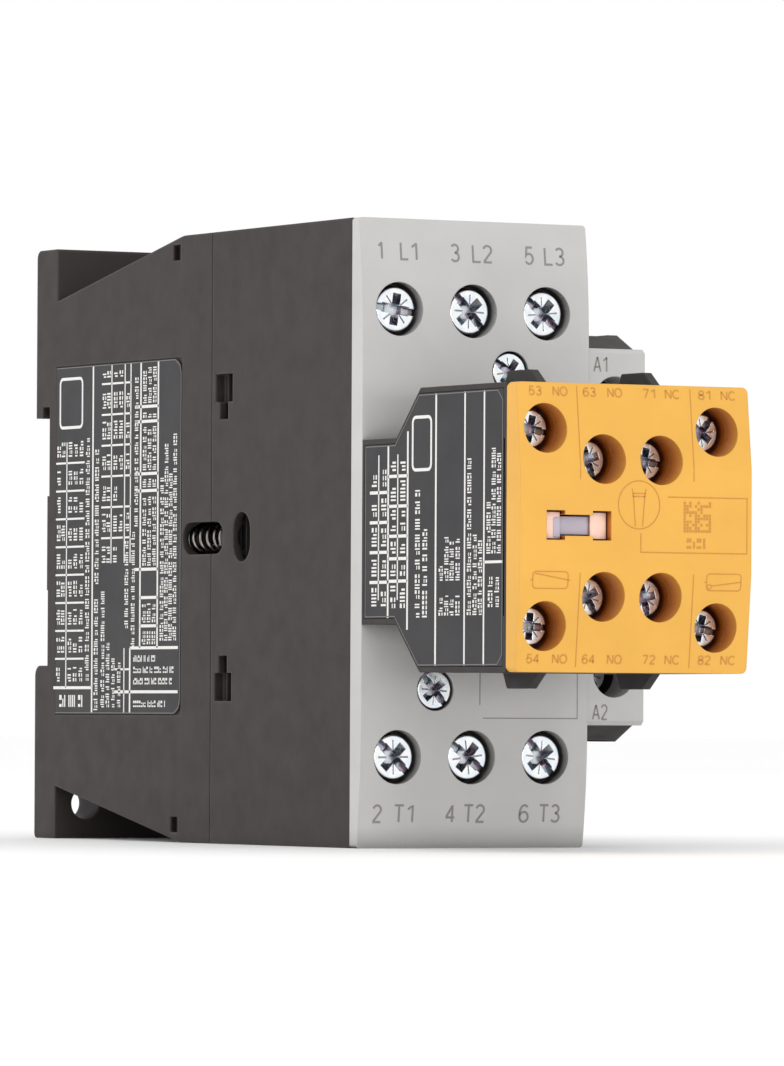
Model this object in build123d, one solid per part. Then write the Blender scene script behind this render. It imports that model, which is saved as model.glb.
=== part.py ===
from build123d import *
import os

# Three-pole contactor for a 35 mm mounting rail, with a snapped-on block of four auxiliary contacts.
# Millimetres. +X is to the right seen from the front, the front faces -Y, and +Z is up. The origin
# is the middle of the rail seat: the plane that the rail's front face bears on is Y = 0. "Depth" is
# the distance in front of the back plane, so the same numbers read like a side elevation.

os.makedirs("parts", exist_ok=True)

# ---- driving dimensions -------------------------------------------------------------------------
HALF_WIDTH = 22.5           # the body is 45 wide
HALF_HEIGHT = 42.5          # and 85 high
SEAT_DEPTH = 3.6            # rail seat in front of the back plane
BASE_DEPTH = 54.0           # seam between the base and the upper housing
HOUSING_DEPTH = 94.3        # front edge of the upper housing
COVER_DEPTH = 97.4          # flat front of the grey cover
AUX_SEAM_DEPTH = 136.1      # seam between the black block and its yellow cover
AUX_DEPTH = 139.7           # flat front of the yellow cover

WALL = 2.0
GAP = 0.05                  # assembly clearance between parts that touch

# mounting side
PLATE_DEPTH = 6.4           # thickness of the mounting plate
SLOPE_Z = 34.9              # half height of the body where it meets the plate
SLOPE_DEPTH = 45.6          # depth at which the body reaches its full height
SLOT_TOP, SLOT_BOTTOM = 18.2, -17.6
FIXING_X, FIXING_Z, FIXING_R = 17.5, 37.5, 2.25

# moving system
STROKE = 5.0                # travel of the armature and the contact carrier
LAG = 1.8                   # the bridges stop this much before the carrier
CONTACT_GAP = STROKE - LAG + GAP

# main poles
POLE_PITCH = 11.5
POLE_X = [-16.8 + POLE_PITCH * i for i in range(3)]
POLE_HALF = 4.5             # half width of a pole chamber
TERMINAL_Z = 30.2
RIGHT_X = 13.0              # right side of the pole block, left side of the coil terminal column
COVER_RIGHT_X = 12.8
COLUMN_Z = 28.05            # half height of the coil terminal column
COIL_X, COIL_Z = 17.8, 18.7
SCREW_BOSSES = [(0.45, 22.1), (-11.05, -21.1)]
BOSS_R = 2.9

BAR_DEPTH, BAR_T = 78.5, 1.5                       # fixed contact bars
TIP_T = 1.2
BRIDGE_DEPTH = BAR_DEPTH + BAR_T + TIP_T + CONTACT_GAP + TIP_T
BRIDGE_T = 1.2
TIP_Z = (8.0, 13.0)

# magnet
CORE_X = 9.0
CORE_Z = 18.6
CORE_LEG_INNER = 12.6
CENTRE_LEG_Z = 5.4
CORE_BACK, CORE_YOKE, CORE_FACE = 8.8, 16.4, 27.5
ARMATURE_FACE = CORE_FACE + STROKE + 2 * GAP
ARMATURE_YOKE, ARMATURE_FRONT = 44.0, 50.5
PIN_DEPTH, PIN_R = 47.2, 1.5
BOBBIN_BACK, BOBBIN_FRONT, FLANGE_T = 16.6, 38.6, 1.2

# return springs and interlock openings, at mid height on both sides
SPRING_X, SPRING_R, SPRING_WIRE = 19.2, 2.2, 0.5
SPRING_BACK, SPRING_FRONT = 44.5, 54.8
CHANNEL_R = 2.5
INTERLOCK_DEPTH, INTERLOCK_R, INTERLOCK_Z = 63.05, 2.55, 3.45
PASSAGE_Z = 5.2             # half height of the carrier's passage

# auxiliary block
AUX_PITCH = 8.7
AUX_X = [-18.4 + AUX_PITCH * i for i in range(4)]
AUX_OUTER_Z, AUX_INNER_Z = 12.9, 9.0
AUX_SCREW_Z = [AUX_OUTER_Z, AUX_INNER_Z, AUX_INNER_Z, AUX_OUTER_Z]
AUX_HALF = 3.1              # half width of an auxiliary chamber
AUX_NECK_Z, AUX_BODY_Z = 12.4, 18.9
AUX_NECK_DEPTH, AUX_BODY_DEPTH = 106.8, 113.3
AUX_PLATE_DEPTH, AUX_PLATE_T = 125.6, 1.2
AUX_BAR_DEPTH, AUX_BAR_T = 114.4, 0.8
AUX_TIP_Z, AUX_TIP_R, AUX_TIP_T = 6.0, 1.3, 0.8
AUX_DECK_DEPTH = 132.6
LEG_X = [-11.05, 0.45]      # the auxiliary slider's two legs
FIN_X = [AUX_X[0] + AUX_PITCH / 2, AUX_X[2] + AUX_PITCH / 2]


# ---- helpers ------------------------------------------------------------------------------------
def block(x0, x1, d0, d1, z0, z1):
    """A box between two X, two depths and two heights."""
    centre = Pos((x0 + x1) / 2, SEAT_DEPTH - (d0 + d1) / 2, (z0 + z1) / 2)
    return centre * Box(abs(x1 - x0), abs(d1 - d0), abs(z1 - z0))


def post(x, z, radius, d0, d1):
    """A cylinder that runs from front to back."""
    return Pos(x, SEAT_DEPTH - (d0 + d1) / 2, z) * Rot(90, 0, 0) * Cylinder(radius, abs(d1 - d0))


def cross_pin(depth, z, radius, x0, x1):
    """A cylinder that runs from left to right."""
    return Pos((x0 + x1) / 2, SEAT_DEPTH - depth, z) * Rot(0, 90, 0) * Cylinder(radius, abs(x1 - x0))


def elevation(points, x0, x1, rounds=()):
    """Extrude a side elevation given as (depth, z) points; rounds are (point index, radius)."""
    outline = Polyline([(SEAT_DEPTH - d, z) for d, z in points], close=True)
    face = make_face(outline)
    for index, radius in rounds:
        target = Vector(SEAT_DEPTH - points[index][0], points[index][1], 0)
        corner = face.vertices().sort_by_distance(target)[0]
        face = fillet(corner, radius)
    return extrude(Plane.YZ.offset(x0) * face, amount=x1 - x0)


def both(make):
    """The upper and the lower of two parts that mirror each other in height."""
    return [make(1), make(-1)]


def zblock(side, x0, x1, d0, d1, z0, z1):
    """A block given for the upper half, mirrored down when side is -1."""
    return block(x0, x1, d0, d1, side * z0, side * z1)


def spring(start, direction, radius, wire, length, turns):
    """A round-wire coil spring between two planes that are length apart."""
    rise = length - wire
    path = Helix(pitch=rise / turns, height=rise, radius=radius - wire / 2)
    section = Plane(origin=path @ 0, z_dir=path % 0) * Circle(wire / 2)
    coil = sweep(section, path=path)
    return Plane(origin=start + direction * (wire / 2), z_dir=direction) * coil


def at(x, depth, z):
    return Vector(x, SEAT_DEPTH - depth, z)


FORWARD = Vector(0, -1, 0)


def screw(x, z, head_r, head_d0, head_d1, shank_r, shank_d0, turn):
    """A terminal screw: flat head with a slot, a tapered cross recess and a short mark in each quarter."""
    head = post(x, z, head_r, head_d0, head_d1)
    rim = head.edges().filter_by(GeomType.CIRCLE).sort_by(Axis.Y)[0]
    head = fillet(rim, head_r * 0.1)
    recess_depth = (head_d1 - head_d0) * 0.5
    front = SEAT_DEPTH - head_d1
    floor = front + recess_depth
    wing, root = head_r * 0.7, head_r * 0.3
    wedge = make_face(Polyline([(-wing, front - 1), (wing, front - 1), (wing, front), (root, floor),
                                (-root, floor), (-wing, front)], close=True))
    wedge = extrude(wedge, amount=head_r * 0.2, both=True)
    recess = Part()
    for angle in (turn, turn + 90):
        recess += Pos(x, 0, z) * Rot(0, angle, 0) * wedge
    slot = block(-head_r - 1, head_r + 1, head_d1 - recess_depth * 0.6, head_d1 + 1,
                 -head_r * 0.15, head_r * 0.15)
    recess += Pos(x, 0, z) * Rot(0, turn, 0) * slot
    for angle in (turn + 45, turn + 135):
        mark = block(-head_r * 0.74, head_r * 0.74, head_d1 - 0.15, head_d1 + 1,
                     -head_r * 0.03, head_r * 0.03)
        recess += Pos(x, 0, z) * Rot(0, angle, 0) * mark
    shank = post(x, z, shank_r, shank_d0, head_d0 + 0.1)
    return head - recess + shank


def save(node, shape):
    if isinstance(shape, (list, tuple)):
        shape = Compound(children=list(shape))
    export_step(shape, f"parts/{node}.step")


# ---- housings and covers ------------------------------------------------------------------------
def base_housing():
    outline = [(0, HALF_HEIGHT), (PLATE_DEPTH, HALF_HEIGHT), (PLATE_DEPTH, SLOPE_Z),
               (SLOPE_DEPTH, HALF_HEIGHT), (BASE_DEPTH, HALF_HEIGHT), (BASE_DEPTH, -HALF_HEIGHT),
               (SLOPE_DEPTH, -HALF_HEIGHT), (PLATE_DEPTH, -SLOPE_Z), (PLATE_DEPTH, -HALF_HEIGHT),
               (0, -HALF_HEIGHT), (0, SLOT_BOTTOM), (SEAT_DEPTH + 0.3, SLOT_BOTTOM),
               (SEAT_DEPTH + 0.3, -6.7), (SEAT_DEPTH, -6.7), (SEAT_DEPTH, 6.9),
               (SEAT_DEPTH + 0.6, 6.9), (SEAT_DEPTH + 0.6, SLOT_TOP + 1.6), (1.9, SLOT_TOP + 1.6),
               (1.9, SLOT_TOP), (0, SLOT_TOP)]
    rounds = [(0, 1.2), (9, 0.8), (10, 1.5), (18, 0.3), (3, 8.0), (6, 8.0)]
    body = elevation(outline, -HALF_WIDTH, HALF_WIDTH, rounds)
    inner = HALF_WIDTH - WALL
    slope = (HALF_HEIGHT - SLOPE_Z) / (SLOPE_DEPTH - PLATE_DEPTH)
    body -= elevation([(PLATE_DEPTH, SLOPE_Z - WALL), (SLOPE_DEPTH, HALF_HEIGHT - WALL),
                       (BASE_DEPTH + 1, HALF_HEIGHT - WALL), (BASE_DEPTH + 1, -HALF_HEIGHT + WALL),
                       (SLOPE_DEPTH, -HALF_HEIGHT + WALL), (PLATE_DEPTH, -SLOPE_Z + WALL)],
                      -inner, inner)
    # screw bosses on ribs from the end walls
    for x, z in SCREW_BOSSES:
        side = 1 if z > 0 else -1
        rib = elevation([(PLATE_DEPTH - 1, side * (abs(z) + 1.5)),
                         (PLATE_DEPTH - 1, side * (SLOPE_Z - 1)),
                         (BASE_DEPTH, side * (SLOPE_Z - 1 + slope * (SLOPE_DEPTH - PLATE_DEPTH))),
                         (BASE_DEPTH, side * (abs(z) + 1.5))], x - 1, x + 1)
        body += rib + post(x, z, BOSS_R, 38, BASE_DEPTH)
        body -= post(x, z, 1.5, 41.5, BASE_DEPTH + 1)
    # seats, channels and windows of the two return springs
    for side in (1, -1):
        body += block(side * 16.8, side * (inner + 0.5), 41.6, SPRING_BACK - GAP, -3.2, 3.2)
        body -= post(side * SPRING_X, 0, CHANNEL_R, SPRING_BACK - GAP, BASE_DEPTH + 1)
        body += post(side * SPRING_X, 0, 1.2, SPRING_BACK - 1, SPRING_BACK + 1.6)
        window_end = 45.6 + 2.25
        body -= cross_pin(window_end, 0, 2.25, side * 20.4, side * 23)
        body -= block(side * 20.4, side * 23, window_end, BASE_DEPTH + 1, -2.25, 2.25)
        for z in (40.2, -40.0):
            body -= block(side * (HALF_WIDTH - 1.2), side * 23, 42.3, 44.6, z - 1.1, z + 1.1)
    # fixing holes on one diagonal, and the recess for the rating label
    for side in (1, -1):
        body -= post(side * FIXING_X, side * FIXING_Z, FIXING_R, -1, PLATE_DEPTH + 1)
    body -= block(-HALF_WIDTH - 1, -HALF_WIDTH + 0.2, 6.4, 45.3, -24.7, 25.5)
    # channel of the rail latch, with its spring pocket
    body -= block(-8.3, 8.3, 1.4, 3.1, -HALF_HEIGHT - 1, SLOT_BOTTOM + 1)
    body -= block(-6.3, 6.3, -1, 1.5, -HALF_HEIGHT - 1, SLOT_BOTTOM + 1)
    body -= block(-1.9, 1.9, 3.0, 4.9, -34.0 - GAP, -22.5)
    return body


def upper_housing():
    body = block(-HALF_WIDTH, RIGHT_X, BASE_DEPTH, HOUSING_DEPTH, -HALF_HEIGHT, HALF_HEIGHT)
    body += block(RIGHT_X - 1, HALF_WIDTH, BASE_DEPTH, BASE_DEPTH + WALL, -HALF_HEIGHT, HALF_HEIGHT)
    column = [(BASE_DEPTH, COLUMN_Z), (88.6, COLUMN_Z), (93.2, 25.8), (HOUSING_DEPTH, 25.8)]
    column += [(d, -z) for d, z in reversed(column)]
    body += elevation(column, RIGHT_X - 1, HALF_WIDTH)
    # shadow line along the seam with the base
    inner_x, inner_z = HALF_WIDTH - 0.2, HALF_HEIGHT - 0.2
    seam = block(-HALF_WIDTH - 1, HALF_WIDTH + 1, BASE_DEPTH - 1, BASE_DEPTH + 0.3,
                 -HALF_HEIGHT - 1, HALF_HEIGHT + 1)
    body -= seam - block(-inner_x, inner_x, BASE_DEPTH - 2, BASE_DEPTH + 1, -inner_z, inner_z)
    floor = BASE_DEPTH + WALL
    for x in POLE_X:
        left, right = x - POLE_HALF, x + POLE_HALF
        body -= block(left, right, floor, HOUSING_DEPTH + 1, -23.6, 23.6)
        for side in (1, -1):
            body -= zblock(side, left, right, 66, 88, 25.0, 36.6)
            body -= zblock(side, x - 2.7, x + 2.7, BAR_DEPTH - 0.3, BAR_DEPTH + BAR_T + 0.3, 23, 26)
            body -= zblock(side, left, right, BASE_DEPTH - 1, 64, 25.4, 40.4)
            body -= zblock(side, x - 3.9, x + 3.9, 70, 79.4, 36, HALF_HEIGHT + 1)
            body -= post(x, side * TERMINAL_Z, 3.3, 87, HOUSING_DEPTH + 1)
    for x, z in SCREW_BOSSES:
        body += post(x, z, BOSS_R, BASE_DEPTH, HOUSING_DEPTH)
        body -= post(x, z, 1.7, BASE_DEPTH - 1, HOUSING_DEPTH + 1)
    # passage of the contact carrier, through the partitions and through the floor
    body -= block(-21, 11, floor - 1, HOUSING_DEPTH + 1, -PASSAGE_Z, PASSAGE_Z)
    body -= block(-20.7, 20.7, BASE_DEPTH - 1, 73, -PASSAGE_Z, PASSAGE_Z)
    for side in (1, -1):
        outside = side * 23
        body -= post(side * SPRING_X, 0, CHANNEL_R, BASE_DEPTH - 1, 66)
        body -= cross_pin(55.55, 0, 2.25, side * 20.4, outside)
        body -= block(side * 20.4, outside, BASE_DEPTH - 1, 55.55, -2.25, 2.25)
        straight = INTERLOCK_Z - INTERLOCK_R
        for z in (straight, -straight):
            body -= cross_pin(INTERLOCK_DEPTH, z, INTERLOCK_R, side * 20.4, outside)
        body -= block(side * 20.4, outside, INTERLOCK_DEPTH - INTERLOCK_R,
                      INTERLOCK_DEPTH + INTERLOCK_R, -straight, straight)
        for up in (1, -1):
            body -= zblock(up, side * 20.9, outside, 55.2, 60.3, 18.8, 22.7)
            body -= zblock(up, side * 20.9, outside, 56.4, 59.0, 16.4, 18.9)
    # coil terminal chambers in the column, with wire mouths above and below
    for up in (1, -1):
        body -= zblock(up, 14.3, 21.3, 76, 90.3, 13.2, 24.6)
        body -= post(COIL_X, up * COIL_Z, 3.3, 90, HOUSING_DEPTH + 1)
        body -= zblock(up, 14.5, 21.1, 79, 89, 24.5, COLUMN_Z + 1)
        body -= zblock(up, 15.2, 20.0, BASE_DEPTH - 1, 77, 13.4, 15.6)
    return body


def cambered_plate(x0, x1, back, front, flat_top, flat_bottom, edge_drop, half_height):
    """A plate whose front is flat in the middle and falls away in arcs towards both ends."""
    y_back, y_flat, y_end = (SEAT_DEPTH - d for d in (back, front, front - edge_drop))
    lower = TangentArc([(y_flat, flat_bottom), (y_end, -half_height)], tangent=(0, -1))
    upper = TangentArc([(y_flat, flat_top), (y_end, half_height)], tangent=(0, 1))
    sides = [Line((y_flat, flat_bottom), (y_flat, flat_top)),
             Line((y_end, half_height), (y_back, half_height)),
             Line((y_back, half_height), (y_back, -half_height)),
             Line((y_back, -half_height), (y_end, -half_height))]
    face = make_face(Curve() + [lower, upper] + sides)
    return extrude(Plane.YZ.offset(x0) * face, amount=x1 - x0)


def front_cover():
    body = cambered_plate(-HALF_WIDTH, COVER_RIGHT_X, HOUSING_DEPTH + GAP, COVER_DEPTH, 26, -26,
                          1.2, HALF_HEIGHT)
    body = fillet(body.edges().filter_by(Axis.Y), 0.5)
    for x in POLE_X:
        for side in (1, -1):
            body -= post(x, side * TERMINAL_Z, 3.65, HOUSING_DEPTH - 1, COVER_DEPTH + 1)
    for x, z in SCREW_BOSSES:
        body -= post(x, z, 2.85, HOUSING_DEPTH - 1, COVER_DEPTH + 1)
    for x in LEG_X:
        body -= block(x - 1.7, x + 1.7, HOUSING_DEPTH - 1, COVER_DEPTH + 1, -2.6, 2.6)
    for x in (-18.5, 8.5):
        for side in (1, -1):
            body -= zblock(side, x - 1.7, x + 1.7, HOUSING_DEPTH - 1, COVER_DEPTH + 1, 8.8, 11.9)
    return body


def coil_terminal_cover():
    half = 25.8
    body = elevation([(HOUSING_DEPTH + GAP, half), (95.5, half), (96.1, half - 0.6),
                      (96.1, -half + 0.6), (95.5, -half), (HOUSING_DEPTH + GAP, -half)],
                     RIGHT_X + 0.2, HALF_WIDTH)
    for side in (1, -1):
        body -= post(COIL_X, side * COIL_Z, 3.3, HOUSING_DEPTH - 1, COVER_DEPTH)
    return body


def type_label():
    plate = block(-HALF_WIDTH, -HALF_WIDTH + 0.15, 6.5, 45.1, -24.5, 25.3)
    corners = plate.edges().filter_by(Axis.X).sort_by(Axis.Y)[:2]
    return fillet(corners, 2.0)


def housing_screws():
    turns = (35, 50)
    return [screw(x, z, 2.65, HOUSING_DEPTH + GAP, COVER_DEPTH - 0.3, 1.45, 42, turn)
            for (x, z), turn in zip(SCREW_BOSSES, turns)]


# ---- rail latch ---------------------------------------------------------------------------------
def rail_latch():
    body = block(-8.0, 8.0, 1.6, 2.9, -42.1, -18.8)
    body += block(-6.0, 6.0, 0.3, 1.7, -42.1, -13.9)
    body += elevation([(0.3, -18.9), (2.4, -18.9), (2.4, -13.9), (1.7, -13.9), (0.3, -15.6)],
                      -6.0, 6.0)
    body -= elevation([(0.2, -13.8), (0.2, -15.7), (1.75, -13.8)], -7, 7)
    body -= block(-1.8, 1.8, 1.5, 4, -38.4, -23.0 + GAP)
    body -= block(-2.6, 2.6, -1, 4, -41.2, -39.4)
    return body


def rail_latch_spring():
    return spring(at(0, 3.2, -34.0), Vector(0, 0, 1), 1.5, 0.35, 11.0, 8)


# ---- magnet -------------------------------------------------------------------------------------
def core_buffer():
    return block(-CORE_X, CORE_X, PLATE_DEPTH + GAP, CORE_BACK - GAP, -CORE_Z, CORE_Z)


def fixed_core():
    body = block(-CORE_X, CORE_X, CORE_BACK, CORE_YOKE, -CORE_Z, CORE_Z)
    body += block(-CORE_X, CORE_X, CORE_BACK, CORE_FACE, -CENTRE_LEG_Z, CENTRE_LEG_Z)
    for side in (1, -1):
        body += zblock(side, -CORE_X, CORE_X, CORE_BACK, CORE_FACE, CORE_LEG_INNER, CORE_Z)
        body -= zblock(side, -CORE_X - 1, CORE_X + 1, 25.9, CORE_FACE + 1, 15.2, 16.2)
        body -= zblock(side, -CORE_X - 1, CORE_X + 1, 25.9, 27.25, CORE_Z - 0.01, CORE_Z + 1)
    return body


def shading_rings():
    def ring(side):
        outer = zblock(side, -10.0, 10.0, 26.1, 27.1, 15.25, 19.55)
        return outer - zblock(side, -CORE_X - GAP, CORE_X + GAP, 26, 27.2, 16.15, CORE_Z + GAP)
    return both(ring)


def coil_bobbin():
    tube_x, tube_z = CORE_X + 1.5, CENTRE_LEG_Z + 1.4
    body = block(-tube_x, tube_x, BOBBIN_BACK, BOBBIN_FRONT, -tube_z, tube_z)
    for d in (BOBBIN_BACK, BOBBIN_FRONT - FLANGE_T):
        body += block(-16.2, 16.2, d, d + FLANGE_T, -12.3, 12.3)
    for side in (1, -1):
        body += zblock(side, 12.0, 19.4, BOBBIN_FRONT - FLANGE_T, BOBBIN_FRONT, 11.0, 16.0)
    clear = block(-tube_x + 0.9, tube_x - 0.9, BOBBIN_BACK - 1, BOBBIN_FRONT + 1,
                  -tube_z + 0.9, tube_z - 0.9)
    return body - clear


def coil_winding():
    """The copper winding on the bobbin."""
    d0, d1 = BOBBIN_BACK + FLANGE_T + GAP, BOBBIN_FRONT - FLANGE_T - GAP
    body = block(-15.6, 15.6, d0, d1, -11.9, 11.9)
    body = fillet(body.edges().filter_by(Axis.Y), 2.5)
    body -= block(-10.5 - GAP, 10.5 + GAP, d0 - 1, d1 + 1, -6.8 - GAP, 6.8 + GAP)
    return body


def armature():
    body = block(-CORE_X, CORE_X, ARMATURE_YOKE, ARMATURE_FRONT, -CORE_Z, CORE_Z)
    body += block(-CORE_X, CORE_X, ARMATURE_FACE, ARMATURE_YOKE + 1, -CENTRE_LEG_Z, CENTRE_LEG_Z)
    for side in (1, -1):
        body += zblock(side, -CORE_X, CORE_X, ARMATURE_FACE, ARMATURE_YOKE + 1, CORE_LEG_INNER,
                       CORE_Z)
    return body - cross_pin(PIN_DEPTH, 0, PIN_R + GAP, -CORE_X - 1, CORE_X + 1)


def armature_pin():
    return cross_pin(PIN_DEPTH, 0, PIN_R, -11.2, 11.2)


def armature_pad():
    return block(-8, 8, ARMATURE_FRONT + GAP, 51.15, -4.2, 4.2)


def coil_terminals():
    """Two plates under the coil screws, each with a strip down to the bobbin."""
    def strip(side):
        body = zblock(side, 14.8, 20.8, 80.0, 81.2, 13.9, 22.4)
        body += zblock(side, 16.3, 18.9, BOBBIN_FRONT + GAP, 80.5, 13.9, 14.7)
        return body - post(COIL_X, side * COIL_Z, 1.65, 79, 82)
    return both(strip)


def coil_terminal_clamps():
    def clamp(side):
        plate = zblock(side, COIL_X - 3.0, COIL_X + 3.0, 85.7, 86.6, COIL_Z - 3.2, COIL_Z + 3.2)
        return plate - post(COIL_X, side * COIL_Z, 1.65, 85, 87)
    return both(clamp)


def coil_terminal_screws():
    return [screw(COIL_X, side * COIL_Z, 2.7, 86.65, 89.4, 1.6, 79.3, turn)
            for side, turn in ((1, 20), (-1, 65))]


# ---- main contacts ------------------------------------------------------------------------------
def contact_bars(side):
    def bar(x):
        body = zblock(side, x - 2.5, x + 2.5, BAR_DEPTH, BAR_DEPTH + BAR_T, 7.0, 25.6)
        return body + zblock(side, x - 3.2, x + 3.2, BAR_DEPTH, BAR_DEPTH + BAR_T, 25.5, 35.2)
    return [bar(x) for x in POLE_X]


def fixed_contact_tips():
    front = BAR_DEPTH + BAR_T
    return [zblock(side, x - 2.3, x + 2.3, front, front + TIP_T, *TIP_Z)
            for x in POLE_X for side in (1, -1)]


def moving_bridge(x):
    bar = block(x - 2.5, x + 2.5, BRIDGE_DEPTH, BRIDGE_DEPTH + BRIDGE_T, -13.6, 13.6)
    return fillet(bar.edges().filter_by(Axis.Y), 1.0)


def moving_contact_tips():
    return [zblock(side, x - 2.3, x + 2.3, BRIDGE_DEPTH - TIP_T, BRIDGE_DEPTH, *TIP_Z)
            for x in POLE_X for side in (1, -1)]


WINDOW_FRONT = 92.2          # front edge of the carrier's windows


def contact_springs():
    start = BRIDGE_DEPTH + BRIDGE_T + GAP
    return [spring(at(x, start, 0), FORWARD, 2.3, 0.5, WINDOW_FRONT - GAP - start, 4)
            for x in POLE_X]


def main_terminal_cages():
    def cage(x, side):
        z0, z1 = TERMINAL_Z - 4.5, TERMINAL_Z + 4.5
        body = zblock(side, x - 4.35, x + 4.35, 69.4, 85.4, z0, z1)
        body = fillet(body.edges().filter_by(Axis.Z), 0.8)
        body -= zblock(side, x - 3.35, x + 3.35, 70.6, 83.4, z0 - 1, z1 + 1)
        return body - post(x, side * TERMINAL_Z, 2.5, 83, 86)
    return [cage(x, side) for x in POLE_X for side in (1, -1)]


def main_terminal_screws():
    turns = {1: (8, 48, 40), -1: (44, 38, 52)}
    tip = BAR_DEPTH + BAR_T + GAP
    return [screw(x, side * TERMINAL_Z, 3.1, 93.0, 96.1, 2.45, tip, turn)
            for side in (1, -1) for x, turn in zip(POLE_X, turns[side])]


def arc_chute_plates():
    """Four thin steel plates beside each contact pair."""
    first, pitch, thickness = 82.2, 2.4, 0.8
    return [zblock(side, x - 4.2, x + 4.2, first + pitch * i, first + pitch * i + thickness,
                   14.8, 18.0)
            for x in POLE_X for side in (1, -1) for i in range(4)]


def contact_carrier():
    reach = 20.4
    body = block(-reach, reach, 59.0, 67.2, -4.2, 4.2)
    body += block(-20.6, 10.3, 67.0, 93.4, -4.4, 4.4)
    body += block(-11.2, 11.2, 51.2, 59.2, -4.4, 4.4)
    for side in (1, -1):
        body += block(side * (CORE_X + 0.3), side * 11.2, 44.3, 51.4, -4.4, 4.4)
        body += post(side * SPRING_X, 0, 2.15, SPRING_FRONT + GAP, 59.2) \
            & block(side * 16, side * 21.4, 50, 60, -3, 3)
        body -= block(side * 18.4, side * 21, 60.6, 65.4, -2.7, 2.7)
    for x in POLE_X:
        body -= block(x - 3.0, x + 3.0, BRIDGE_DEPTH - GAP, WINDOW_FRONT, -5, 5)
        body -= block(x - 3.0, x + 3.0, 70.0, BRIDGE_DEPTH - 4, -5, 5)
    for x in LEG_X:
        body -= block(x - 1.15, x + 1.15, 90.0, 94, -2.1, 2.1)
    return body - cross_pin(PIN_DEPTH, 0, PIN_R + GAP, -12, 12)


def return_spring(side):
    length = SPRING_FRONT - SPRING_BACK
    return spring(at(side * SPRING_X, SPRING_BACK, 0), FORWARD, SPRING_R, SPRING_WIRE, length, 5)


# ---- auxiliary contact block --------------------------------------------------------------------
def aux_housing():
    outline = [(COVER_DEPTH + GAP, AUX_NECK_Z), (AUX_NECK_DEPTH, AUX_NECK_Z),
               (AUX_BODY_DEPTH, AUX_BODY_Z), (AUX_SEAM_DEPTH, AUX_BODY_Z)]
    outline += [(d, -z) for d, z in reversed(outline)]
    body = elevation(outline, -HALF_WIDTH, COVER_RIGHT_X)
    chamber = [(99.0, AUX_NECK_Z - 1.5), (107.4, AUX_NECK_Z - 1.5), (113.9, AUX_BODY_Z - 1.6),
               (AUX_DECK_DEPTH, AUX_BODY_Z - 1.6)]
    chamber += [(d, -z) for d, z in reversed(chamber)]
    for x, z in zip(AUX_X, AUX_SCREW_Z):
        body -= elevation(chamber, x - AUX_HALF, x + AUX_HALF)
        for side in (1, -1):
            body += zblock(side, x - AUX_HALF, x + AUX_HALF, 123.6, AUX_PLATE_DEPTH - GAP, 12.0,
                           AUX_BODY_Z - 1)
            body -= post(x, side * z, 3.25, AUX_DECK_DEPTH - 1, AUX_SEAM_DEPTH + 1)
            body -= zblock(side, x - 3.0, x + 3.0, 126.9, 131.6, AUX_BODY_Z - 2, AUX_BODY_Z + 1)
    # slider: its bed, its two legs' slots and the shaft of the indicator
    body -= block(-21.2, 11.0, 99.0, 126.5, -2.9, 2.9)
    for x in LEG_X:
        body -= block(x - 1.5, x + 1.5, COVER_DEPTH - 1, 99.5, -2.3, 2.3)
    body -= block(-19.0, -8.2, 126.0, AUX_SEAM_DEPTH + 1, -2.0, 2.6)
    # four hooks that hold the block in the front cover, and four fins between the wire mouths
    for side in (1, -1):
        for x in (-18.5, 8.5):
            body += zblock(side, x - 1.4, x + 1.4, 92.5, 99.0, 9.2, 10.6)
            body += zblock(side, x - 1.4, x + 1.4, 92.5, HOUSING_DEPTH - 0.1, 10.5, 12.2)
        for x in FIN_X:
            body += elevation([(121.3, side * (AUX_BODY_Z - 1)), (122.9, side * 21.0),
                               (128.6, side * 21.0), (132.6, side * (AUX_BODY_Z - 1))],
                              x - 0.6, x + 0.6, [(1, 0.5), (2, 0.5)])
    body -= block(-HALF_WIDTH - 1, -HALF_WIDTH + 0.2, 98.0, 135.7, -AUX_NECK_Z + 0.8,
                  AUX_NECK_Z - 0.8)
    body -= elevation(label_outline(0.1), -HALF_WIDTH - 1, -HALF_WIDTH + 0.2)
    return body


def label_outline(grow):
    """The auxiliary block's side label: its side elevation, set in from the edges."""
    inset = 0.8 - grow
    half = [(COVER_DEPTH + inset, AUX_NECK_Z - inset), (AUX_NECK_DEPTH - 0.3, AUX_NECK_Z - inset),
            (AUX_BODY_DEPTH - 0.3, AUX_BODY_Z - inset), (AUX_SEAM_DEPTH - inset, AUX_BODY_Z - inset)]
    return half + [(d, -z) for d, z in reversed(half)]


def aux_side_label():
    return elevation(label_outline(0), -HALF_WIDTH, -HALF_WIDTH + 0.15)


def aux_cover():
    back = AUX_SEAM_DEPTH + GAP
    edge = AUX_DEPTH - 1.2
    body = elevation([(back, AUX_BODY_Z), (edge, AUX_BODY_Z), (AUX_DEPTH, 8), (AUX_DEPTH, -6),
                      (edge, -AUX_BODY_Z), (back, -AUX_BODY_Z)], -HALF_WIDTH, COVER_RIGHT_X)
    body = fillet(body.edges().filter_by(Axis.Y), 0.8)
    for x, z in zip(AUX_X, AUX_SCREW_Z):
        for side in (1, -1):
            body -= post(x, side * z, 3.25, back - 1, AUX_DEPTH + 1)
    for x0, x1, z0, z1 in ((-18.5, -15.7, -1.65, 2.2), (-11.5, -8.7, -1.65, 2.2),
                           (-15.8, -11.4, -1.1, 1.65)):
        body -= block(x0, x1, back - 1, AUX_DEPTH + 1, z0, z1)
    return body


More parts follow.
